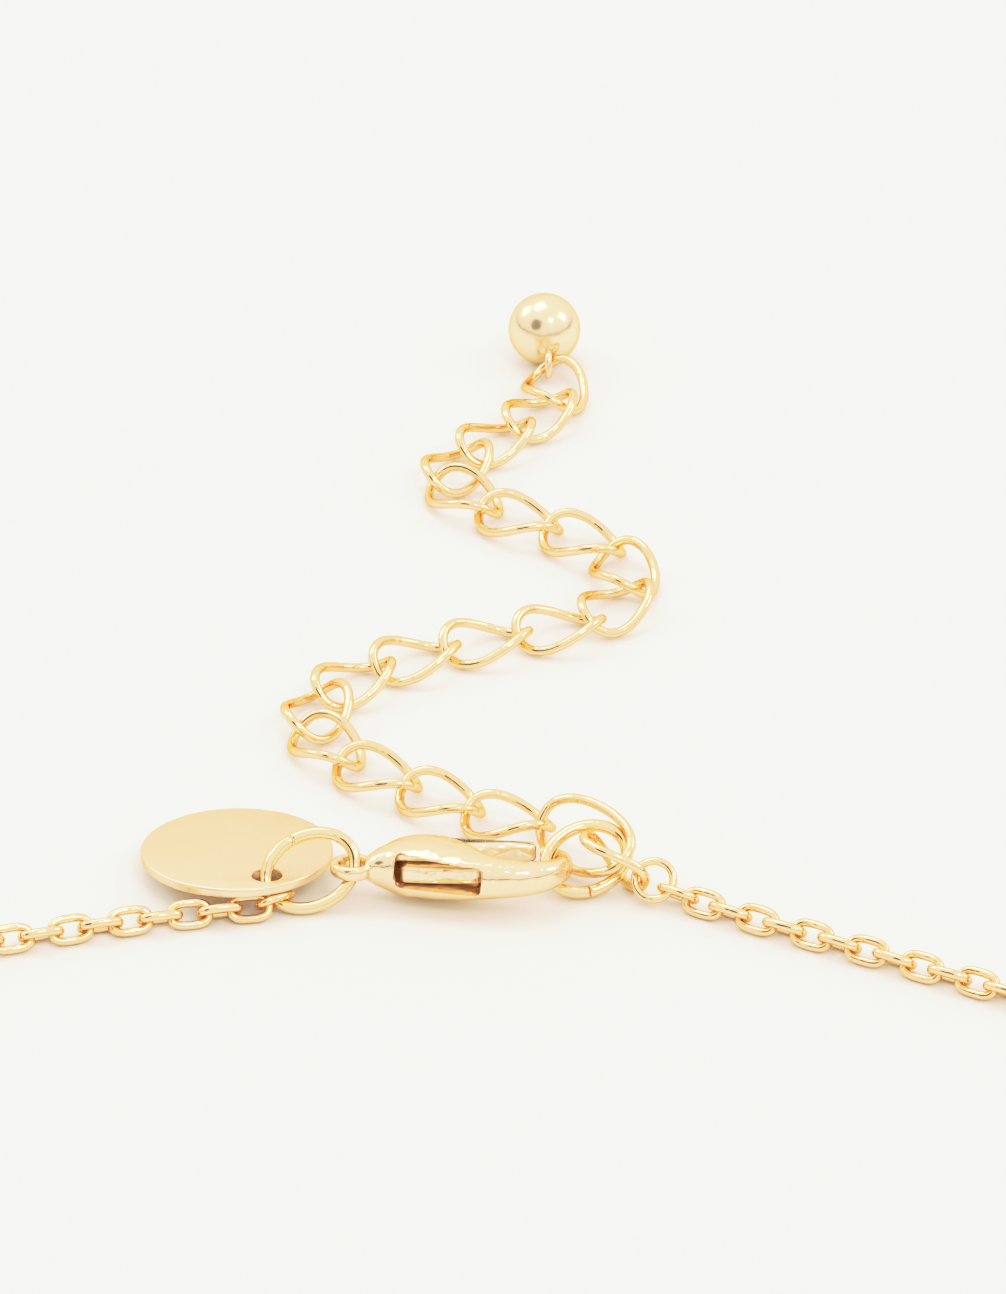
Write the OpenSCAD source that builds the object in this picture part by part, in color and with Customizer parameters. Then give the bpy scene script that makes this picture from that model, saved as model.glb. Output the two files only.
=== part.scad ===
// A cable chain necklace laid on a flat surface: one loop of chain, a lobster clasp hooked in a
// jump ring, a round disc tag, and an extender chain that ends in a ball. Millimetres, +Z up.
// The front of the loop points to -Y and the extender chain runs off to +Y.

/* [Cable chain] */
// Wire of a cable link
cable_wire = 0.4; // [0.3:0.02:0.44]
// Outer length of a cable link
cable_link_l = 2.3; // [2.2:0.05:2.6]
// Outer width of a cable link
cable_link_w = 1.6; // [1.4:0.05:1.7]
// Outer diameter of the whole chain as it lies
cable_d = 1.3; // [1.1:0.1:1.6]

/* [Extender chain] */
// Wire of an extender link
extender_wire = 0.5; // [0.4:0.02:0.52]
// Outer length of an extender link
extender_link_l = 5.16; // [5.1:0.02:5.2]
// Outer width of an extender link
extender_link_w = 3.7; // [3.5:0.02:3.74]
// Half twist of a link, tail to head, in degrees
extender_twist = 38; // [36:1:42]
// Height of the links' centres above the surface
extender_z = 0.9; // [0.86:0.02:1.0]

/* [End ball] */
// Diameter of the ball
ball_d = 4; // [3:0.1:4]

/* [Jump rings] */
// Wire of the two jump rings
ring_wire = 0.62; // [0.5:0.02:0.64]
// Lean of both rings from level, far side up, in degrees
left_ring_lean = 45; // [43:1:48]
hook_ring_lean = 36; // [35:1:37]

/* [Disc tag] */
// Diameter of the tag
tag_d = 9.7; // [9:0.1:10]
// Thickness of the tag
tag_t = 0.5; // [0.4:0.05:0.55]
// Diameter of the hole in the tag
tag_hole_d = 1.5; // [1.5:0.1:1.7]
// Slope of the tag, whose near edge lies on the chain, in degrees
tag_slope = 8; // [7.5:0.5:8]

/* [Clasp] */
// Height of the clasp's middle plane above the surface
clasp_z = 1.72; // [1.7:0.02:1.76]
// Width of the lever's slot
slot_w = 1.1; // [1.1:0.05:1.3]
// Thickness of the lever
lever_t = 0.95; // [0.8:0.05:0.95]
// Diameter of the hinge pin
pin_d = 0.56; // [0.5:0.02:0.6]

/* [Hidden] */
gold = [0.93, 0.79, 0.52];

// All places below are laid out about a point between the clasp and the extender chain. This
// shift puts the origin under the middle of the whole necklace.
layout_shift = [0, 58.5, 0];

// The chain's route, from its end at the left ring round the front to the connector ring
cable_route = [
    [-12.9, -25.7], [-15.8, -26.3], [-18.7, -26.9], [-24.6, -28.5], [-36, -32], [-48, -38.5],
    [-58, -49], [-65, -65], [-67, -85], [-65, -105], [-56, -125], [-39, -140], [-20, -147],
    [0, -148.5], [20, -147], [39, -140], [56, -125], [65, -105], [67, -85], [65, -65],
    [57, -52], [46, -44], [35, -38.2], [23.5, -32.4], [18.2, -29.6], [12.8, -26.8], [10.2, -25.4]
];
steps_per_span = 3;

// Where neighbouring extender links meet, from the clasp end to the ball
extender_joints = [
    [2.1, -18.6], [-1.5, -17.3], [-4.8, -14.8], [-8.1, -12.5], [-10.1, -9.2], [-9.2, -5.9],
    [-6.4, -3.2], [-2.8, -1.4], [1, 0], [4.9, 1.2], [7, 4.5], [5.9, 8.3], [2.6, 10.6],
    [-0.9, 12.6], [-3.3, 15.6], [-1.7, 18.8], [0.9, 21.4], [3.1, 24.4], [2.6, 27.1]
];

// A closed loop of wire: half length and half width of its centre line, how square it is, and
// its twist at the tail and the head
link_stations = 18;
link_sides = 6;
ring_stations = 24;
ring_sides = 8;
extender_a = (extender_link_l - extender_wire) / 2;
extender_b = (extender_link_w - extender_wire) / 2;
extender_squareness = 2.3;
cable_a = (cable_link_l - cable_wire) / 2;
cable_b = (cable_link_w - cable_wire) / 2;
cable_squareness = 2.6;

clasp_place = [-8.65, -23.6, clasp_z];
clasp_turn = [-10, 0, -2];
pin_place = [5.6, 1.1];

// A place on a squared oval, at turn t
function power(c, k) = sign(c) * pow(abs(c), k);
function oval(t, a, b, squareness) =
    [a * power(cos(t), 2 / squareness), b * power(sin(t), 2 / squareness)];

// Axes of a link: along it, across it to the left, and up from it
function along(heading, pitch) =
    [cos(heading) * cos(pitch), sin(heading) * cos(pitch), sin(pitch)];
function across(heading) = [-sin(heading), cos(heading), 0];

// Centre line of a link, and beside each point the direction square to its flat side
function link_line(center, heading, pitch, twist, a, b, squareness, stations, spin = 0) =
    let (x = along(heading, pitch), y = across(heading), z = cross(x, y))
    [for (i = [0:stations - 1])
        let (
            flat = oval(360 * i / stations, a, b, squareness),
            u = flat[0] * cos(spin) - flat[1] * sin(spin),
            v = flat[0] * sin(spin) + flat[1] * cos(spin),
            roll = twist[0] + (twist[1] - twist[0]) * (u + a) / (2 * a)
        )
        [center + u * x + v * (cos(roll) * y + sin(roll) * z), cos(roll) * z - sin(roll) * y]];

// A round wire swept along a closed line
module wire_loop(line, wire, sides) {
    n = len(line);
    points = [for (i = [0:n - 1])
        let (
            way = line[(i + 1) % n][0] - line[(i + n - 1) % n][0],
            side = cross(line[i][1], way) / norm(cross(line[i][1], way)),
            up = cross(way, side) / norm(cross(way, side))
        )
        for (k = [0:sides - 1])
            line[i][0] + wire / 2 * (cos(360 * k / sides) * side + sin(360 * k / sides) * up)];
    faces = [for (i = [0:n - 1]) for (k = [0:sides - 1])
        let (j = (i + 1) % n, l = (k + 1) % sides)
        each [
            [i * sides + k, j * sides + l, i * sides + l],
            [i * sides + k, j * sides + k, j * sides + l]
        ]];
    polyhedron(points, faces);
}

// A curve through all points of a route, with the same number of steps in each span
function blend(a, b, c, d, t) =
    0.5 * (2 * b + (c - a) * t + (2 * a - 5 * b + 4 * c - d) * t * t
        + (3 * b - a - 3 * c + d) * t * t * t);
function smooth(route, steps) =
    let (n = len(route))
    concat(
        [for (i = [0:n - 2]) for (s = [0:steps - 1])
            blend(route[max(i - 1, 0)], route[i], route[i + 1], route[min(i + 2, n - 1)], s / steps)],
        [route[n - 1]]
    );

// A round bar of 8 sides along a level open line, with flat ends
module bar(line, height, d, sides = 8) {
    n = len(line);
    points = [for (i = [0:n - 1])
        let (
            way = line[min(i + 1, n - 1)] - line[max(i - 1, 0)],
            side = [-way[1], way[0], 0] / norm(way)
        )
        for (k = [0:sides - 1])
            [line[i][0], line[i][1], height]
                + d / 2 * (cos(360 * k / sides) * side + [0, 0, sin(360 * k / sides)])];
    walls = [for (i = [0:n - 2]) for (k = [0:sides - 1])
        let (l = (k + 1) % sides)
        each [
            [i * sides + k, (i + 1) * sides + l, i * sides + l],
            [i * sides + k, (i + 1) * sides + k, (i + 1) * sides + l]
        ]];
    start = [[for (k = [0:sides - 1]) k]];
    end = [[for (k = [sides - 1:-1:0]) (n - 1) * sides + k]];
    polyhedron(points, concat(walls, start, end));
}

module cable_chain() {
    color(gold) translate(layout_shift) bar(smooth(cable_route, steps_per_span), cable_d / 2, cable_d);
}

// One cable link, rolled about the chain's axis
module cable_link(center, heading, pitch, roll) {
    line = link_line(center, heading, pitch, [roll, roll], cable_a, cable_b, cable_squareness, link_stations);
    color(gold) translate(layout_shift) wire_loop(line, cable_wire, link_sides);
}

module cable_end_link_left() {
    cable_link([-11.45, -25.06, 0.68], 40.6, -9, -44);
}

module cable_end_link_right() {
    cable_link([8.79, -24.6, 0.77], -30, 0, -48);
}

// Oval jump rings, leaning with the far side up
function left_ring_line() =
    link_line([-9.66, -23.92, 1.72], 0, 0, [left_ring_lean, left_ring_lean], 2.34, 1.82, 2,
        ring_stations, 27);
function hook_ring_line() =
    link_line([4.19, -22.47, 1.46], 7.3, 0, [hook_ring_lean, hook_ring_lean], 2.16, 1.69, 2,
        ring_stations, 24.5);

module left_ring() {
    color(gold) translate(layout_shift) wire_loop(left_ring_line(), ring_wire, ring_sides);
}

module hook_ring() {
    color(gold) translate(layout_shift) wire_loop(hook_ring_line(), ring_wire, ring_sides);
}

tag_hole_place = [1.6, -3.1, 0];

module disc_tag() {
    far_z = 0.05 + tag_t * cos(tag_slope) / 2;
    center = [-13.44, -21.15, far_z + tag_d / 2 * sin(tag_slope)];
    color(gold) translate(layout_shift + center) rotate([-tag_slope, 0, 0]) difference() {
        cylinder(h = tag_t, d = tag_d, center = true, $fn = 96);
        translate(tag_hole_place) cylinder(h = 2 * tag_t, d = tag_hole_d, center = true, $fn = 48);
    }
}

// The clasp's body and hook as one horn: centre of each section seen from above, its turn, and
// its half width and half thickness
CLASP_X = 0;
CLASP_Y = 1;
CLASP_TURN = 2;
CLASP_WIDE = 3;
CLASP_THICK = 4;
clasp_stations = [
    [1.75, 0, 0, 0.6, 0.5], [2.2, 0.08, 0, 0.8, 0.84], [2.6, 0.17, 0, 1, 1.03], [3.2, 0.25, 0, 1.35, 1.28],
    [3.8, 0.28, 0, 1.7, 1.41], [4.6, 0.3, -2, 1.9, 1.45], [5.4, 0.16, -6, 1.95, 1.43],
    [6.1, -0.07, -12, 1.85, 1.34], [6.8, -0.43, -16, 1.6, 1.26], [7.6, -0.8, -12, 1.2, 1.12],
    [8.6, -1, -4, 0.95, 0.98], [9.5, -0.98, 5, 0.85, 0.9], [10.2, -0.84, 16, 0.78, 0.82],
    [10.85, -0.52, 32, 0.68, 0.74], [11.35, -0.05, 54, 0.58, 0.66], [11.62, 0.45, 76, 0.5, 0.6],
    [11.66, 0.95, 94, 0.46, 0.54], [11.56, 1.4, 112, 0.42, 0.46], [11.32, 1.82, 132, 0.4, 0.4],
    [10.98, 2.12, 150, 0.37, 0.37], [10.5, 2.33, 166, 0.33, 0.33]
];
clasp_sides = 24;
clasp_squareness = 2.5;

module clasp_horn() {
    n = len(clasp_stations);
    points = [for (s = clasp_stations) for (k = [0:clasp_sides - 1])
        let (p = oval(360 * k / clasp_sides, s[CLASP_WIDE], s[CLASP_THICK], clasp_squareness))
        [s[CLASP_X] - p[0] * sin(s[CLASP_TURN]), s[CLASP_Y] + p[0] * cos(s[CLASP_TURN]), p[1]]];
    walls = [for (i = [0:n - 2]) for (k = [0:clasp_sides - 1])
        let (l = (k + 1) % clasp_sides)
        each [
            [i * clasp_sides + k, (i + 1) * clasp_sides + l, i * clasp_sides + l],
            [i * clasp_sides + k, (i + 1) * clasp_sides + k, (i + 1) * clasp_sides + l]
        ]];
    start = [[for (k = [0:clasp_sides - 1]) k]];
    end = [[for (k = [clasp_sides - 1:-1:0]) (n - 1) * clasp_sides + k]];
    polyhedron(points, concat(walls, start, end));
}

// The clasp lies rolled a little, its spine up
module clasp_laid() {
    translate(layout_shift + clasp_place) rotate(clasp_turn) children();
}

// The eye, a flat band bent round and soldered to the neck: centre, radius and section
eye_x = 1.1;
eye_r = 0.9;
eye_band = [0.25, 0.36];
eye_sides = 24;
eye_section = [for (k = [0:eye_sides - 1])
    [eye_r, 0] + oval(360 * k / eye_sides, eye_band[0], eye_band[1], 2.5)];

// The slot for the lever, seen from above. It runs through the body and follows the lever's ends
// with room for its travel. On the near side it opens into a window that slopes a little.
slot_outline = [
    [3.3, -3], [3.3, -0.6], [2.8, -0.1], [2.8, 0.8], [3.35, 1.1], [3.68, 1.6], [3.86, 3], [8.6, 3],
    [8.6, 0.8], [7.85, 0.3], [7.85, -1.05], [7.5, -1.25], [7.5, -3]
];
window_low = -0.5;
window_high = 0.95;
window_from = 3.2;
window_to = 7.6;
window_depth = -0.35;
window_slope = 5;
bore_gap = 0.04;
ring_room = 0.12;

module clasp_body() {
    color(gold) difference() {
        clasp_laid() difference() {
            union() {
                clasp_horn();
                translate([eye_x, 0, 0]) rotate_extrude($fn = 48) polygon(eye_section);
            }
            translate([0, 0, -slot_w / 2]) linear_extrude(slot_w) polygon(slot_outline);
            translate([(window_from + window_to) / 2, -3, 0]) rotate([0, window_slope, 0])
                translate([(window_from - window_to) / 2, 0, window_low])
                    cube([window_to - window_from, 3 + window_depth, window_high - window_low]);
            translate([pin_place[0], pin_place[1], -3]) cylinder(h = 6, d = pin_d + bore_gap, $fn = 48);
        }
        translate(layout_shift) wire_loop(hook_ring_line(), ring_wire + 2 * ring_room, ring_sides);
        translate(layout_shift) wire_loop(left_ring_line(), ring_wire + 2 * ring_room, ring_sides);
    }
}

// The lever seen from above: its gate to the right, its thumb nub at the far side
lever_outline = [
    [10.24, 2.2], [10.24, 2.58], [10.1, 2.72], [9.2, 2.86], [8, 2.85], [7.1, 2.72], [6.4, 2.55], [5.7, 2.5],
    [5.35, 2.7], [5.1, 3.1], [4.9, 3.25], [4.5, 3.25], [4.3, 3.1], [4.2, 2.6], [4, 1.8], [3.75, 0.9],
    [3.6, -0.5], [3.7, -0.87], [6, -0.95], [7.4, -0.9], [7.72, -0.65], [7.72, -0.2], [7.4, 0.4], [7.28, 1],
    [7.45, 1.55], [7.9, 1.98], [8.8, 2.15]
];

module clasp_lever() {
    color(gold) clasp_laid() difference() {
        translate([0, 0, -lever_t / 2]) linear_extrude(lever_t) polygon(lever_outline);
        translate([pin_place[0], pin_place[1], -3]) cylinder(h = 6, d = pin_d + 2 * bore_gap, $fn = 48);
    }
}

pin_l = 2.5;

module clasp_pin() {
    color(gold) clasp_laid() translate([pin_place[0], pin_place[1], 0])
        cylinder(h = pin_l, d = pin_d, center = true, $fn = 48);
}

// A twisted oval link from the hook ring down to a small ring at the chain's end
small_ring_r = 0.98;
small_ring_wire = 0.42;

module connector_link() {
    line = link_line([5.58, -23.01, 1.74], -26.5, -31.3, [-21, -79], 1.91, 1.21,
        extender_squareness, link_stations);
    color(gold) translate(layout_shift) wire_loop(line, extender_wire, link_sides);
}

module connector_ring() {
    line = link_line([7.58, -23.95, 1.16], -9, 0, [45.4, 45.4], small_ring_r, small_ring_r, 2,
        link_stations);
    color(gold) translate(layout_shift) wire_loop(line, small_ring_wire, link_sides);
}

// The extender chain's links lie along their joints
module extender_link(number) {
    tail = extender_joints[number - 2];
    head = extender_joints[number - 1];
    way = head - tail;
    middle = (tail + head) / 2;
    laid_link([middle[0], middle[1], extender_z], atan2(way[1], way[0]), 0);
}

module laid_link(center, heading, pitch) {
    line = link_line(center, heading, pitch, [extender_twist, -extender_twist], extender_a, extender_b,
        extender_squareness, link_stations);
    color(gold) translate(layout_shift) wire_loop(line, extender_wire, link_sides);
}

// The first link, a little larger, stands in the hook ring, and the next two climb towards it
module extender_first() {
    line = link_line([4.09, -20.85, 1.73], -45.7, 2.1, [54, 32], 2.95, 1.75, 2.2, link_stations);
    color(gold) translate(layout_shift) wire_loop(line, extender_wire, link_sides);
}

// Ball and, soldered to it, the small eye that takes the last link
ball_place = [2.3, 30.15, ball_d / 2];
ball_eye_place = [2.52, 28.08, 0.98];
ball_eye_r = 0.64;
ball_eye_wire = 0.4;

module end_ball() {
    color(gold) translate(layout_shift) {
        translate(ball_place) sphere(d = ball_d, $fn = 64);
        translate(ball_eye_place) rotate([0, 90, 0]) rotate_extrude($fn = 48)
            translate([ball_eye_r, 0]) circle(d = ball_eye_wire, $fn = 24);
    }
}

cable_chain();
cable_end_link_left();
cable_end_link_right();
left_ring();
disc_tag();
clasp_body();
clasp_lever();
clasp_pin();
hook_ring();
connector_link();
connector_ring();
extender_first();  // extender_link_01
laid_link([0.23, -18.36, 1.16], 153.9, -5.2);  // extender_link_02
laid_link([-3.2, -16.15, 0.98], 143.8, -1.5);  // extender_link_03
extender_link(4);  // extender_link_04
extender_link(5);  // extender_link_05
extender_link(6);  // extender_link_06
extender_link(7);  // extender_link_07
extender_link(8);  // extender_link_08
extender_link(9);  // extender_link_09
extender_link(10);  // extender_link_10
extender_link(11);  // extender_link_11
extender_link(12);  // extender_link_12
extender_link(13);  // extender_link_13
extender_link(14);  // extender_link_14
extender_link(15);  // extender_link_15
extender_link(16);  // extender_link_16
extender_link(17);  // extender_link_17
extender_link(18);  // extender_link_18
extender_link(19);  // extender_link_19
end_ball();
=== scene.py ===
import math

import bmesh
import bpy
from mathutils import Matrix, Vector


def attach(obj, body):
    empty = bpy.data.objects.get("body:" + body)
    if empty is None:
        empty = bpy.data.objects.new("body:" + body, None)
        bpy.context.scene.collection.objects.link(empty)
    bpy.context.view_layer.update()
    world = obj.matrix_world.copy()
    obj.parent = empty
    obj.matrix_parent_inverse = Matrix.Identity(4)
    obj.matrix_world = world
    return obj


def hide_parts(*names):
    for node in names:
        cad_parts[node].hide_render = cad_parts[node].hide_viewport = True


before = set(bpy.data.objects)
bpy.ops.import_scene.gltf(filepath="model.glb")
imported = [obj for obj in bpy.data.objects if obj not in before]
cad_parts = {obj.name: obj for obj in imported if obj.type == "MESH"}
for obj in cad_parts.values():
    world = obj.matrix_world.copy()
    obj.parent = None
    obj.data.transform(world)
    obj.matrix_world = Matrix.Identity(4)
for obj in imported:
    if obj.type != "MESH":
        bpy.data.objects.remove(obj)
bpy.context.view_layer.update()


# Camera: it looks down on the clasp end from the front, a long way off, with a long lens. Lengths
# from here on are millimetres, laid out about a point between the clasp and the extender chain,
# which is 58.5 mm behind the middle of the necklace. to_frame turns them into the frame's metres.
MILLIMETRE = 0.001
to_frame = Matrix.Scale(MILLIMETRE, 4) @ Matrix.Translation((0, 58.5, 0))

scene = bpy.context.scene
camera_data = bpy.data.cameras.new("camera")
camera_data.lens = 237.7
camera_data.sensor_width = 36
camera_data.clip_start = 0.01
camera_data.clip_end = 50
camera = bpy.data.objects.new("camera", camera_data)
scene.collection.objects.link(camera)
camera.location = to_frame @ Vector((0, -381.6, 238.5))
aim = to_frame @ Vector((0, 0, 0))
camera.rotation_euler = (aim - camera.location).to_track_quat("-Z", "Y").to_euler()
scene.camera = camera

# How light is shown, both as shares of the white level. Shadows are opened up and highlights roll
# off slowly; red and green are first lifted a little, which keeps pale gold warm.
WHITE_LEVEL = 4
ALL_COLOURS = ((0.05, 0.23), (0.12, 0.5), (0.235, 0.75), (0.32, 0.87), (0.37, 0.907), (0.6, 0.985))
RED = ((0.1, 0.11), (0.18, 0.22), (0.24, 0.29), (0.33, 0.355), (0.39, 0.4), (0.6, 0.61))
GREEN = ((0.08, 0.085), (0.145, 0.17), (0.22, 0.235), (0.36, 0.385), (0.6, 0.62))
scene.view_settings.view_transform = "Standard"
scene.view_settings.use_curve_mapping = True
response = scene.view_settings.curve_mapping
response.white_level = (WHITE_LEVEL, WHITE_LEVEL, WHITE_LEVEL)
response.extend = "EXTRAPOLATED"
for channel, points in ((3, ALL_COLOURS), (0, RED), (1, GREEN)):
    for light, shown in points:
        response.curves[channel].points.new(light, shown)
response.update()


# Studio: a seamless sheet of pale paper inside a bright tent. The tent is dark in a low band, which
# fades out towards the back, and in a round place to the front left. Three soft lamps and a small
# bright one shine down on the clasp.
def colour_mix(nodes, one=None, other=None):
    """A mix of two colours. One that is left out comes through a link."""
    mix = nodes.new("ShaderNodeMix")
    mix.data_type = "RGBA"
    for socket, colour in (("A", one), ("B", other)):
        if colour:
            mix.inputs[socket].default_value = (*colour, 1)
    return mix


def noise(nodes, scale, detail):
    """A pattern of soft spots."""
    spots = nodes.new("ShaderNodeTexNoise")
    spots.inputs["Scale"].default_value = scale
    spots.inputs["Detail"].default_value = detail
    return spots


PAPER_HALF = 4  # metres
bm = bmesh.new()
bmesh.ops.create_grid(bm, x_segments=1, y_segments=1, size=PAPER_HALF)
surface = bpy.data.meshes.new("surface")
bm.to_mesh(surface)
bm.free()
surface = bpy.data.objects.new("surface", surface)
scene.collection.objects.link(surface)

paper = bpy.data.materials.new("paper")
paper.use_nodes = True
nodes, links = paper.node_tree.nodes, paper.node_tree.links
shader = nodes["Principled BSDF"]
shader.inputs["Roughness"].default_value = 0.75
shader.inputs["Specular IOR Level"].default_value = 0.2
place = nodes.new("ShaderNodeTexCoord")
mottle = noise(nodes, scale=9, detail=3)
shade = colour_mix(nodes, (0.885, 0.885, 0.865), (0.905, 0.905, 0.885))
links.new(place.outputs["Object"], mottle.inputs["Vector"])
links.new(mottle.outputs["Fac"], shade.inputs["Factor"])
links.new(shade.outputs["Result"], shader.inputs["Base Color"])
surface.data.materials.append(paper)

TENT_WARMTH = (1, 0.97, 0.91)
TENT_TOP = (1.4, 1.36, 1.28)
TENT_FOOT = (1.3, 1.26, 1.18)
DARK_PLACE = (0.03, 0.028, 0.025)
DARK_PLACE_WAY = (-0.48, -0.65, 0.59)

world = bpy.data.worlds.new("tent")
world.use_nodes = True
scene.world = world
nodes, links = world.node_tree.nodes, world.node_tree.links
toward = nodes.new("ShaderNodeTexCoord")
parts = nodes.new("ShaderNodeSeparateXYZ")
links.new(toward.outputs["Generated"], parts.inputs["Vector"])
band = nodes.new("ShaderNodeValToRGB")
stops = band.color_ramp.elements
stops[0].position, stops[0].color = 0, (*TENT_FOOT, 1)
stops[1].position, stops[1].color = 1, (*TENT_TOP, 1)
# height, brightness
for height, level in ((0.05, 1.2), (0.09, 0.08), (0.13, 0.08), (0.2, 1.2), (0.5, 1.35)):
    stops.new(height).color = (*(level * share for share in TENT_WARMTH), 1)
links.new(parts.outputs["Z"], band.inputs["Fac"])
# The wall is plain at the back, and the band comes in towards the sides
front = nodes.new("ShaderNodeMapRange")
front.inputs["From Min"].default_value = 0.8
front.inputs["From Max"].default_value = 0.1
links.new(parts.outputs["Y"], front.inputs["Value"])
wall = colour_mix(nodes, one=TENT_TOP)
links.new(front.outputs["Result"], wall.inputs["Factor"])
links.new(band.outputs["Color"], wall.inputs["B"])
# The dark place lies round one direction, with a soft edge
along = nodes.new("ShaderNodeVectorMath")
along.operation = "DOT_PRODUCT"
along.inputs[1].default_value = Vector(DARK_PLACE_WAY).normalized()
links.new(toward.outputs["Generated"], along.inputs[0])
nearness = nodes.new("ShaderNodeMapRange")
nearness.inputs["From Min"].default_value = 0.94
nearness.inputs["From Max"].default_value = 0.975
links.new(along.outputs["Value"], nearness.inputs["Value"])
tent = colour_mix(nodes, other=DARK_PLACE)
links.new(nearness.outputs["Result"], tent.inputs["Factor"])
links.new(wall.outputs["Result"], tent.inputs["A"])
links.new(tent.outputs["Result"], nodes["Background"].inputs["Color"])

# name, direction from the clasp, distance, width and height in metres, brightness
LAMPS = (
    ("overhead", (-0.2, 0.35, 0.9), 1, 0.55, 0.46, 2.6),
    ("left", (-0.71, 0.38, 0.6), 0.9, 0.38, 0.3, 3),
    ("right", (0.8, 0.1, 0.6), 0.9, 0.35, 0.38, 2.8),
    ("spark", (0.31, -0.5, 0.81), 1, 0.19, 0.21, 11))
for name, way, far, wide, tall, level in LAMPS:
    lamp_data = bpy.data.lights.new(name, "AREA")
    lamp_data.shape = "RECTANGLE"
    lamp_data.color = (0.92, 0.98, 1)
    lamp_data.size = wide
    lamp_data.size_y = tall
    lamp_data.energy = level * math.pi * wide * tall
    lamp = bpy.data.objects.new(name, lamp_data)
    scene.collection.objects.link(lamp)
    lamp.location = aim + Vector(way).normalized() * far
    lamp.rotation_euler = (aim - lamp.location).to_track_quat("-Z", "Y").to_euler()


# Cable chain: small oval links of gold plated brass wire that is a little deeper than wide, each
# closed through the last. They are turned a quarter from one to the next, so that they lie at 45
# degrees either way. A slightly rounder link ends the chain on either side.
def gold(name, tone, roughness, ripple, swell, metal=0.8):
    """Pale gold plate over polished brass. Its tone and shine are a little uneven, ripple is how
    strong its finest marks are, and swell is how deep its broad ones are, in millimetres."""
    material = bpy.data.materials.new(name)
    material.use_nodes = True
    nodes, links = material.node_tree.nodes, material.node_tree.links
    shader = nodes["Principled BSDF"]
    shader.inputs["Metallic"].default_value = metal
    shader.inputs["Specular Tint"].default_value = (1, 0.55, 0.22, 1)
    place = nodes.new("ShaderNodeTexCoord")
    broad = noise(nodes, scale=260, detail=4)
    fine = noise(nodes, scale=2200, detail=5)
    red, green, blue = tone
    tint = colour_mix(
        nodes, (red * 0.97, green * 0.94, blue * 0.88), (min(red * 1.02, 1), green * 1.03, blue * 1.06))
    shine = nodes.new("ShaderNodeMapRange")
    shine.inputs["To Min"].default_value = roughness * 0.7
    shine.inputs["To Max"].default_value = roughness * 1.4
    uneven = nodes.new("ShaderNodeBump")
    uneven.inputs["Distance"].default_value = swell * MILLIMETRE
    marks = nodes.new("ShaderNodeBump")
    marks.inputs["Strength"].default_value = ripple
    marks.inputs["Distance"].default_value = 0.02 * MILLIMETRE
    links.new(place.outputs["Object"], broad.inputs["Vector"])
    links.new(place.outputs["Object"], fine.inputs["Vector"])
    links.new(broad.outputs["Fac"], tint.inputs["Factor"])
    links.new(tint.outputs["Result"], shader.inputs["Base Color"])
    links.new(fine.outputs["Fac"], shine.inputs["Value"])
    links.new(shine.outputs["Result"], shader.inputs["Roughness"])
    links.new(broad.outputs["Fac"], uneven.inputs["Height"])
    links.new(uneven.outputs["Normal"], marks.inputs["Normal"])
    links.new(fine.outputs["Fac"], marks.inputs["Height"])
    links.new(marks.outputs["Normal"], shader.inputs["Normal"])
    return material


def oval(turn, half_length, half_width, squareness):
    """A place on an oval, which is squarer than an ellipse where squareness is over 2."""
    c, s = math.cos(turn), math.sin(turn)
    return (math.copysign(abs(c) ** (2 / squareness), c) * half_length,
            math.copysign(abs(s) ** (2 / squareness), s) * half_width)


def link_line(center, heading, pitch, twist, half, squareness, stations, spin=0, cut=None):
    """A link's centre line, as pairs of a point and the direction square to its flat side.

    Angles are in degrees. heading and pitch aim the link, which rolls from the first angle of
    twist at its tail to the second at its head. spin turns the oval in its own plane, and cut
    gives the place and the width of a gap in it."""
    heading, pitch, spin = math.radians(heading), math.radians(pitch), math.radians(spin)
    x = Vector((math.cos(heading) * math.cos(pitch), math.sin(heading) * math.cos(pitch), math.sin(pitch)))
    y = Vector((-math.sin(heading), math.cos(heading), 0))
    z = x.cross(y)
    line = []
    for i in range(stations):
        if cut is None:
            turn = 2 * math.pi * i / stations
        else:
            turn = math.radians(cut[0]) + math.radians(360 - cut[1]) * i / (stations - 1)
        ahead, across = oval(turn, *half, squareness)
        u = ahead * math.cos(spin) - across * math.sin(spin)
        v = ahead * math.sin(spin) + across * math.cos(spin)
        roll = math.radians(twist[0] + (twist[1] - twist[0]) * (u + half[0]) / (2 * half[0]))
        side = math.cos(roll) * y + math.sin(roll) * z
        line.append((Vector(center) + u * x + v * side, math.cos(roll) * z - math.sin(roll) * y))
    return line


def edges_at(verts):
    """The edges that meet at some points, each of them once."""
    return list(dict.fromkeys(edge for vert in verts for edge in vert.link_edges))


def wire(bm, line, diameter, sides, closed=True, deep=1):
    """A wire swept along a line, as rings of points bridged one to the next. It is round, or deeper
    square to the link's flat side."""
    loops = []
    last = len(line) - 1
    for i, (point, up) in enumerate(line):
        ahead = line[(i + 1) % (last + 1)][0] if closed or i < last else point
        behind = line[i - 1][0] if closed or i > 0 else point
        way = (ahead - behind).normalized()
        side = up.cross(way).normalized()
        turn = Matrix((side, way.cross(side) * deep, way)).transposed().to_4x4()
        turn.translation = point
        cap = not closed and i in (0, last)
        verts = bmesh.ops.create_circle(
            bm, segments=sides, radius=diameter / 2, matrix=turn, cap_ends=cap)["verts"]
        loops.append(edges_at(verts))
    for i in range(last + 1 if closed else last):
        bmesh.ops.bridge_loops(bm, edges=loops[i] + loops[(i + 1) % (last + 1)])


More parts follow.
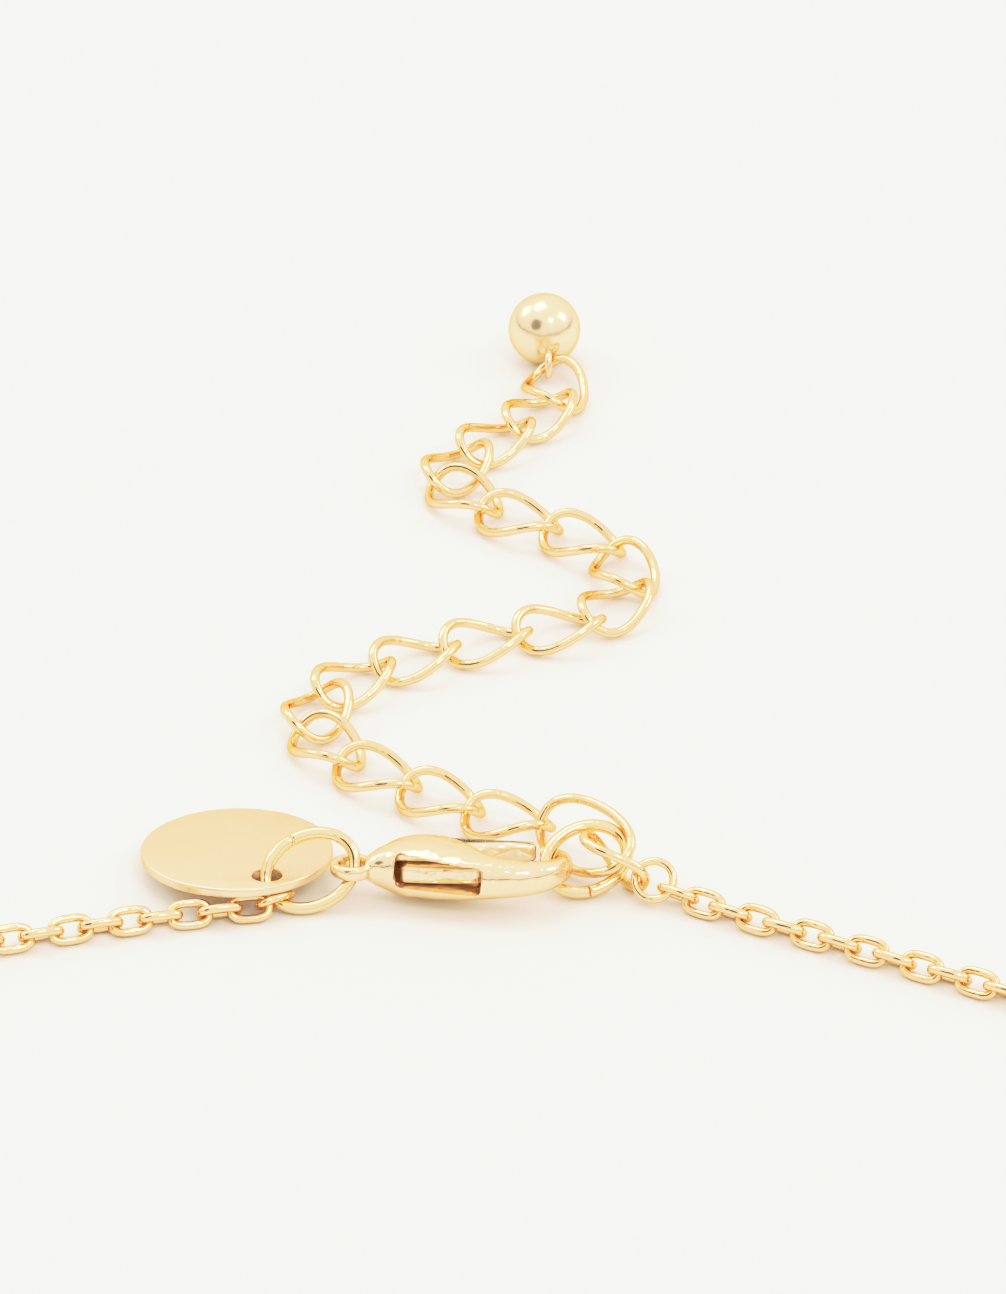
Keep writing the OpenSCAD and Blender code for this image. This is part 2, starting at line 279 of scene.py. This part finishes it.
def piece(bm, name, material, body="necklace", replaced=()):
    """Turns a mesh laid out in millimetres into a piece that rides on a body. Faces with many
    corners are flat ones, and the others are shaded smooth."""
    bmesh.ops.recalc_face_normals(bm, faces=bm.faces)
    bmesh.ops.transform(bm, matrix=to_frame, verts=bm.verts)
    for face in bm.faces:
        face.smooth = len(face.verts) < 5
    mesh = bpy.data.meshes.new(name)
    bm.to_mesh(mesh)
    bm.free()
    mesh.materials.append(material)
    shape = bpy.data.objects.new(name, mesh)
    scene.collection.objects.link(shape)
    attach(shape, body)
    if replaced:
        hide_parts(*replaced)
    return shape


def blend(a, b, c, d, t):
    """A place between b and c, on a curve that passes through all four points."""
    return 0.5 * (2 * b + (c - a) * t + (2 * a - 5 * b + 4 * c - d) * t * t
                  + (3 * b - a - 3 * c + d) * t * t * t)


def smooth(route, steps):
    """A curve through all points of a route, with so many steps from each to the next."""
    route = [Vector(point) for point in route]
    ends = len(route) - 1
    line = []
    for i in range(ends):
        for step in range(steps):
            line.append(blend(route[max(i - 1, 0)], route[i], route[i + 1],
                              route[min(i + 2, ends)], step / steps))
    return line + [route[ends]]


# x, y of the points that the chain passes, from the left jump ring round to the small ring
CHAIN_ROUTE = (
    (-12.9, -25.7), (-15.8, -26.3), (-18.7, -26.9), (-24.6, -28.5), (-36, -32), (-48, -38.5),
    (-58, -49), (-65, -65), (-67, -85), (-65, -105), (-56, -125), (-39, -140), (-20, -147),
    (0, -148.5), (20, -147), (39, -140), (56, -125), (65, -105), (67, -85), (65, -65),
    (57, -52), (46, -44), (35, -38.2), (23.5, -32.4), (18.2, -29.6), (12.8, -26.8), (10.2, -25.4))
ROUTE_STEPS = 24
END_STEPS = 8
FIRST_LINK = (-12.69, -25.72, 0.66)
LAST_LINK = (10.05, -25.3, 0.65)
CHAIN_HEIGHT = 0.65
CHAIN_PITCH = 1.515
CHAIN_HALF = (0.97, 0.565)
CHAIN_SQUARENESS = 2.9
CHAIN_WIRE = 0.43
CHAIN_DEEP = 1.1
CHAIN_ROLL = 45
NEAR_LINKS = 16
# How far from its middle a link is held by its neighbours, as a share of the pitch. No two links
# sit quite alike: they turn by up to so many radians, and roll by up to so many degrees.
HELD_AT = 0.7
TURN_PLAY = 0.03
ROLL_PLAY = 3

chain_line = [Vector(FIRST_LINK)]
for spot in smooth(CHAIN_ROUTE, ROUTE_STEPS)[END_STEPS:-END_STEPS]:
    chain_line.append(Vector((spot.x, spot.y, CHAIN_HEIGHT)))
chain_line.append(Vector(LAST_LINK))
reach = [0]
for start, end in zip(chain_line, chain_line[1:]):
    reach.append(reach[-1] + (end - start).length)
last_link = 2 * round(reach[-1] / CHAIN_PITCH / 2)


def on_chain(link):
    """The place of a link's middle on the chain, or of a point between two links."""
    distance = min(max(reach[-1] * link / last_link, 0), reach[-1])
    i = next(k for k in range(1, len(reach)) if reach[k] >= distance - 1e-9)
    share = (distance - reach[i - 1]) / (reach[i] - reach[i - 1])
    return chain_line[i - 1].lerp(chain_line[i], share)


def cable_link(name, stations, sides):
    """One link that lies flat at the origin. Those near the clasp have more sides."""
    bm = bmesh.new()
    line = link_line((0, 0, 0), 0, 0, (0, 0), CHAIN_HALF, CHAIN_SQUARENESS, stations)
    wire(bm, line, diameter=CHAIN_WIRE, sides=sides, deep=CHAIN_DEEP)
    mesh = bpy.data.meshes.new(name)
    bm.to_mesh(mesh)
    bm.free()
    return mesh


chain_gold = gold("chain gold", (0.98, 0.67, 0.36), roughness=0.09, ripple=0.3, swell=0.4, metal=0.95)
near_link = cable_link("near link", stations=32, sides=10)
far_link = cable_link("far link", stations=12, sides=5)
chain_bm = bmesh.new()
for i in range(last_link + 1):
    way = on_chain(i + HELD_AT) - on_chain(i - HELD_AT)
    heading = math.atan2(way.y, way.x) + TURN_PLAY * math.sin(2.3 * i)
    roll = (-CHAIN_ROLL if i % 2 == 0 else CHAIN_ROLL) + ROLL_PLAY * math.sin(1.7 * i)
    lay = Matrix.Translation(on_chain(i)) @ Matrix.Rotation(heading, 4, "Z")
    lay = lay @ Matrix.Rotation(math.radians(roll), 4, "X")
    old = len(chain_bm.verts)
    chain_bm.from_mesh(near_link if min(i, last_link - i) < NEAR_LINKS else far_link)
    chain_bm.verts.ensure_lookup_table()
    bmesh.ops.transform(chain_bm, matrix=lay, verts=chain_bm.verts[old:])
bpy.data.meshes.remove(near_link)
bpy.data.meshes.remove(far_link)
piece(chain_bm, "chain_links", chain_gold, replaced=["cable_chain"])

# side, centre, heading, pitch, lean
END_LINKS = (
    ("left", (-11.45, -25.06, 0.68), 40.6, -9, -44),
    ("right", (8.79, -24.6, 0.77), -30, 0, -48))
for side, center, heading, pitch, lean in END_LINKS:
    bm = bmesh.new()
    line = link_line(center, heading, pitch, (lean, lean), (0.95, 0.6), squareness=2.6, stations=40)
    wire(bm, line, diameter=0.4, sides=12)
    piece(bm, "end_link_" + side, chain_gold, replaced=["cable_end_link_" + side])


# Jump rings: oval rings of round wire, cut once and closed, with the cut still to be seen. The left
# one holds the chain's end, the tag and the clasp, and the clasp is hooked in the other.
ring_gold = gold("ring gold", (0.98, 0.69, 0.36), roughness=0.06, ripple=0.15, swell=0.3, metal=0.95)

# name, centre, heading, lean, half length and half width, spin, place of the cut
JUMP_RINGS = (
    ("left", (-9.66, -23.92, 1.72), 0, 45, (2.34, 1.82), 27, 94),
    ("hook", (4.19, -22.47, 1.46), 7.3, 36, (2.16, 1.69), 24.5, 250))
CUT_WIDTH = 1.6
for name, center, heading, lean, half, spin, cut in JUMP_RINGS:
    bm = bmesh.new()
    line = link_line(center, heading, 0, (lean, lean), half, squareness=2, stations=96,
                     spin=spin, cut=(cut, CUT_WIDTH))
    wire(bm, line, diameter=0.62, sides=20, closed=False)
    piece(bm, name + "_jump_ring", ring_gold, replaced=[name + "_ring"])


# Connector: a twisted oval link and a small round ring, both of soldered wire, take the chain's
# right end to the hook's jump ring.
bm = bmesh.new()
line = link_line(
    center=(5.58, -23.01, 1.74), heading=-26.5, pitch=-31.3, twist=(-21, -79),
    half=(1.91, 1.21), squareness=2.3, stations=64)
wire(bm, line, diameter=0.5, sides=16)
piece(bm, "oval_link", ring_gold, replaced=["connector_link"])
bm = bmesh.new()
line = link_line(
    center=(7.58, -23.95, 1.16), heading=-9, pitch=0, twist=(45.4, 45.4),
    half=(0.98, 0.98), squareness=2, stations=48)
wire(bm, line, diameter=0.42, sides=14)
piece(bm, "small_ring", ring_gold, replaced=["connector_ring"])


# Extender chain: nineteen curb links of round brass wire, gold plated, each twisted about its
# length so that they lie flat. The first is a little larger and stands in the hook's jump ring, and
# the next two come down from it to the surface.
extender_gold = gold("extender gold", (0.98, 0.665, 0.35), roughness=0.08, ripple=0.15, swell=0.3, metal=0.95)

CURB_TWIST = (38, -38)
CURB_HALF = (2.33, 1.6)
CURB_SQUARENESS = 2.3
CURB_HEIGHT = 0.9
# centre, heading, pitch, twist, half length and half width, squareness
curb_links = [
    ((4.09, -20.85, 1.73), -45.7, 2.1, (54, 32), (2.95, 1.75), 2.2),
    ((0.23, -18.36, 1.16), 153.9, -5.2, CURB_TWIST, CURB_HALF, CURB_SQUARENESS),
    ((-3.2, -16.15, 0.98), 143.8, -1.5, CURB_TWIST, CURB_HALF, CURB_SQUARENESS)]
# x, y of the places where the links that lie flat are joined, from the fourth link's tail
CURB_JOINTS = (
    (-4.8, -14.8), (-8.1, -12.5), (-10.1, -9.2), (-9.2, -5.9), (-6.4, -3.2), (-2.8, -1.4), (1, 0),
    (4.9, 1.2), (7, 4.5), (5.9, 8.3), (2.6, 10.6), (-0.9, 12.6), (-3.3, 15.6), (-1.7, 18.8),
    (0.9, 21.4), (3.1, 24.4), (2.6, 27.1))
for joints in zip(CURB_JOINTS, CURB_JOINTS[1:]):
    tail, head = (Vector((*joint, CURB_HEIGHT)) for joint in joints)
    heading = math.degrees(math.atan2((head - tail).y, (head - tail).x))
    curb_links.append(((tail + head) / 2, heading, 0, CURB_TWIST, CURB_HALF, CURB_SQUARENESS))
for number, (center, heading, pitch, twist, half, squareness) in enumerate(curb_links, 1):
    bm = bmesh.new()
    line = link_line(center, heading, pitch, twist, half, squareness, stations=72)
    wire(bm, line, diameter=0.5, sides=16)
    piece(bm, "curb_link_%02d" % number, extender_gold, replaced=["extender_link_%02d" % number])


# End ball: a polished ball of gold plated brass, with a small wire eye soldered to it. The last curb
# link holds the eye.
ball_gold = gold("ball gold", (0.98, 0.74, 0.45), roughness=0.17, ripple=0.02, swell=0.15)

BALL_RADIUS = 2
BALL_PLACE = (2.3, 30.15, BALL_RADIUS)
EYE_PLACE = (2.52, 28.08, 0.98)
EYE_RADIUS = 0.64
EYE_STATIONS = 48
bm = bmesh.new()
bmesh.ops.create_uvsphere(
    bm, u_segments=96, v_segments=48, radius=BALL_RADIUS, matrix=Matrix.Translation(BALL_PLACE))
eye = []
for i in range(EYE_STATIONS):
    turn = 2 * math.pi * i / EYE_STATIONS
    x, y, z = EYE_PLACE
    spot = Vector((x, y + EYE_RADIUS * math.cos(turn), z + EYE_RADIUS * math.sin(turn)))
    eye.append((spot, Vector((1, 0, 0))))
wire(bm, eye, diameter=0.4, sides=16)
piece(bm, "ball", ball_gold, replaced=["end_ball"])


# Disc tag: a flat disc stamped from brass sheet and gold plated, with soft edges and one punched
# hole, plain on both faces. It lies with its near edge on the chain.
def thicken(bm, faces, height):
    """Gives a flat outline its thickness."""
    top = bmesh.ops.extrude_face_region(bm, geom=faces)["geom"]
    verts = [item for item in top if isinstance(item, bmesh.types.BMVert)]
    bmesh.ops.translate(bm, verts=verts, vec=(0, 0, height))


def soften(bm, bend, width):
    """Rounds off all edges that are bent by more than so many radians."""
    edges = [edge for edge in bm.edges if edge.calc_face_angle(0) > bend]
    bmesh.ops.bevel(bm, geom=edges, offset=width, segments=4, profile=0.5, affect="EDGES", material=-1)


disc_gold = gold("disc gold", (0.94, 0.7, 0.43), roughness=0.28, ripple=0.03, swell=0.05)

TAG_RADIUS = 4.85
TAG_THICK = 0.5
TAG_GAP = 0.05
TAG_SLOPE = math.radians(8)
TAG_PLACE = (-13.44, -21.15)
HOLE_RADIUS = 0.75
HOLE_PLACE = (1.6, -3.1)

tag_height = TAG_GAP + TAG_THICK / 2 * math.cos(TAG_SLOPE) + TAG_RADIUS * math.sin(TAG_SLOPE)
tag_lay = Matrix.Translation((*TAG_PLACE, tag_height)) @ Matrix.Rotation(-TAG_SLOPE, 4, "X")
bm = bmesh.new()
edges = []
for (x, y), radius, segments in (((0, 0), TAG_RADIUS, 128), (HOLE_PLACE, HOLE_RADIUS, 48)):
    lay = Matrix.Translation((x, y, -TAG_THICK / 2))
    edges += edges_at(bmesh.ops.create_circle(bm, segments=segments, radius=radius, matrix=lay)["verts"])
sheet = bmesh.ops.triangle_fill(bm, edges=edges, use_dissolve=True, use_beauty=True)["geom"]
thicken(bm, [item for item in sheet if isinstance(item, bmesh.types.BMFace)], TAG_THICK)
soften(bm, bend=1.2, width=0.12)
bmesh.ops.transform(bm, matrix=tag_lay, verts=bm.verts)
tag = piece(bm, "tag", disc_gold, replaced=["disc_tag"])
tag.data.set_sharp_from_angle(angle=math.radians(35))


# Lobster clasp: a brass body cast in one, polished all over and gold plated, from an eye through a
# swollen shell to a hook. A slot runs through the shell for the lever, and opens on the near side
# into a window. The eye and the hook have room for their jump rings.
clasp_gold = gold("clasp gold", (0.98, 0.72, 0.43), roughness=0.07, ripple=0.05, swell=0.45)

# The clasp is laid out along X from the jump ring's side, then turned and rolled into its place
CLASP_PLACE = (-8.65, -23.6, 1.72)
CLASP_TURN = math.radians(-2)
CLASP_ROLL = math.radians(-10)
clasp_lay = Matrix.Translation(CLASP_PLACE) @ Matrix.Rotation(CLASP_TURN, 4, "Z")
clasp_lay = clasp_lay @ Matrix.Rotation(CLASP_ROLL, 4, "X")

# x, y, turn, half width and half thickness of each section
CLASP_SECTIONS = (
    (1.75, 0, 0, 0.6, 0.5), (2.2, 0.08, 0, 0.8, 0.84), (2.6, 0.17, 0, 1, 1.03), (3.2, 0.25, 0, 1.35, 1.28),
    (3.8, 0.28, 0, 1.7, 1.41), (4.6, 0.3, -2, 1.9, 1.45), (5.4, 0.16, -6, 1.95, 1.43),
    (6.1, -0.07, -12, 1.85, 1.34), (6.8, -0.43, -16, 1.6, 1.26), (7.6, -0.8, -12, 1.2, 1.12),
    (8.6, -1, -4, 0.95, 0.98), (9.5, -0.98, 5, 0.85, 0.9), (10.2, -0.84, 16, 0.78, 0.82),
    (10.85, -0.52, 32, 0.68, 0.74), (11.35, -0.05, 54, 0.58, 0.66), (11.62, 0.45, 76, 0.5, 0.6),
    (11.66, 0.95, 94, 0.46, 0.54), (11.56, 1.4, 112, 0.42, 0.46), (11.32, 1.82, 132, 0.4, 0.4),
    (10.98, 2.12, 150, 0.37, 0.37), (10.5, 2.33, 166, 0.33, 0.33))
CLASP_SQUARENESS = 2.5


def loose(bm, name):
    """An object for a step of the making, in millimetres."""
    bmesh.ops.recalc_face_normals(bm, faces=bm.faces)
    mesh = bpy.data.meshes.new(name)
    bm.to_mesh(mesh)
    bm.free()
    shape = bpy.data.objects.new(name, mesh)
    scene.collection.objects.link(shape)
    return shape


# Shell and hook are one horn, lofted through the sections
bm = bmesh.new()
sections = smooth(CLASP_SECTIONS, 4)
loops = []
for i, (x, y, turn, wide, thick) in enumerate(sections):
    turn = math.radians(turn)
    cap = i in (0, len(sections) - 1)
    verts = bmesh.ops.create_circle(bm, segments=48, radius=1, cap_ends=cap)["verts"]
    loops.append(edges_at(verts))
    for vert in verts:
        across, up = oval(math.atan2(vert.co.y, vert.co.x), wide, thick, CLASP_SQUARENESS)
        vert.co = (x - across * math.sin(turn), y + across * math.cos(turn), up)
for one, other in zip(loops, loops[1:]):
    bmesh.ops.bridge_loops(bm, edges=one + other)
horn = loose(bm, "horn")

# The eye is a flat band, spun about the middle of its hole
EYE_MIDDLE = 1.1
BAND_MIDDLE = 2
BAND_HALF = (0.25, 0.36)
BAND_SIDES = 32
bm = bmesh.new()
band = []
for i in range(BAND_SIDES):
    across, up = oval(2 * math.pi * i / BAND_SIDES, *BAND_HALF, CLASP_SQUARENESS)
    band.append(bm.verts.new((BAND_MIDDLE + across, 0, up)))
for i in range(BAND_SIDES):
    bm.edges.new((band[i], band[(i + 1) % BAND_SIDES]))
bmesh.ops.spin(bm, geom=bm.verts[:] + bm.edges[:], cent=(EYE_MIDDLE, 0, 0), axis=(0, 0, 1),
               angle=2 * math.pi, steps=64, use_merge=True)
clasp_eye = loose(bm, "clasp eye")


def plate(outline, low, high, soft):
    """A flat plate of an outline, from one height to another, with rounded edges."""
    bm = bmesh.new()
    base = bm.faces.new([bm.verts.new((x, y, low)) for x, y in outline])
    thicken(bm, [base], high - low)
    soften(bm, bend=0.7, width=soft)
    return bm


# What is cut out: the lever's slot, the window on the near side, and room round the jump rings
SLOT_OUTLINE = (
    (3.3, -3), (3.3, -0.6), (2.8, -0.1), (2.8, 0.8), (3.35, 1.1), (3.68, 1.6), (3.86, 3), (8.6, 3),
    (8.6, 0.8), (7.85, 0.3), (7.85, -1.05), (7.5, -1.25), (7.5, -3))
SLOT_HALF = 0.55
WINDOW_OUTLINE = ((-2.2, -3), (-2.2, -0.35), (2.2, -0.35), (2.2, -3))
WINDOW_LOW = -0.5
WINDOW_HIGH = 0.95
WINDOW_MIDDLE = 5.4
WINDOW_SLOPE = math.radians(5)
RING_ROOM = 0.86

slot = plate(SLOT_OUTLINE, -SLOT_HALF, SLOT_HALF, soft=0.1)
window = plate(WINDOW_OUTLINE, WINDOW_LOW, WINDOW_HIGH, soft=0.3)
bmesh.ops.rotate(window, cent=(0, 0, 0), matrix=Matrix.Rotation(WINDOW_SLOPE, 3, "Y"), verts=window.verts)
bmesh.ops.translate(window, verts=window.verts, vec=(WINDOW_MIDDLE, 0, 0))
cutters = [loose(slot, "cutter"), loose(window, "cutter")]
for _, center, heading, lean, half, spin, _ in JUMP_RINGS:
    bm = bmesh.new()
    line = link_line(center, heading, 0, (lean, lean), half, squareness=2, stations=72, spin=spin)
    wire(bm, line, diameter=RING_ROOM, sides=16)
    bmesh.ops.transform(bm, matrix=clasp_lay.inverted(), verts=bm.verts)
    cutters.append(loose(bm, "cutter"))


def add(shape, kind, **settings):
    """A step of the making, as a modifier."""
    step = shape.modifiers.new(kind.lower(), kind)
    for setting, value in settings.items():
        setattr(step, setting, value)


# The new mesh and its smoothing join all of it into one casting with soft edges
add(horn, "BOOLEAN", operation="UNION", object=clasp_eye, solver="EXACT")
for cutter in cutters:
    add(horn, "BOOLEAN", operation="DIFFERENCE", object=cutter, solver="EXACT")
add(horn, "REMESH", mode="VOXEL", voxel_size=0.05)
add(horn, "SMOOTH", factor=0.5, iterations=8)
bpy.context.view_layer.update()
cast = bpy.data.meshes.new_from_object(horn.evaluated_get(bpy.context.evaluated_depsgraph_get()))
for shape in [horn, clasp_eye] + cutters:
    bpy.data.objects.remove(shape)
bm = bmesh.new()
bm.from_mesh(cast)
bpy.data.meshes.remove(cast)
bmesh.ops.transform(bm, matrix=clasp_lay, verts=bm.verts)
piece(bm, "clasp_casting", clasp_gold, replaced=["clasp_body"])


# Lever: a flat brass plate with rounded edges, gold plated, that turns on the clasp's pin. Its gate
# closes the hook, and its nub stands out on the far side for the thumb.
lever_gold = gold("lever gold", (0.99, 0.77, 0.5), roughness=0.1, ripple=0.1, swell=0.9, metal=0.7)

LEVER_OUTLINE = (
    (10.24, 2.2), (10.24, 2.58), (10.1, 2.72), (9.2, 2.86), (8, 2.85), (7.1, 2.72), (6.4, 2.55), (5.7, 2.5),
    (5.35, 2.7), (5.1, 3.1), (4.9, 3.25), (4.5, 3.25), (4.3, 3.1), (4.2, 2.6), (4, 1.8), (3.75, 0.9),
    (3.6, -0.5), (3.7, -0.87), (6, -0.95), (7.4, -0.9), (7.72, -0.65), (7.72, -0.2), (7.4, 0.4), (7.28, 1),
    (7.45, 1.55), (7.9, 1.98), (8.8, 2.15))
LEVER_HALF = 0.475
outline = smooth(LEVER_OUTLINE + LEVER_OUTLINE[:1], 3)[:-1]
bm = plate(outline, -LEVER_HALF, LEVER_HALF, soft=0.24)
bmesh.ops.transform(bm, matrix=clasp_lay, verts=bm.verts)
lever = piece(bm, "lever_plate", lever_gold, "lever", replaced=["clasp_lever"])
lever.data.set_sharp_from_angle(angle=math.radians(40))


# Pin: a short brass cylinder through the shell and the lever, with both ends inside the shell. It
# keeps its own shape and takes the clasp's finish.
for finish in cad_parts["clasp_pin"].material_slots:
    finish.material = clasp_gold
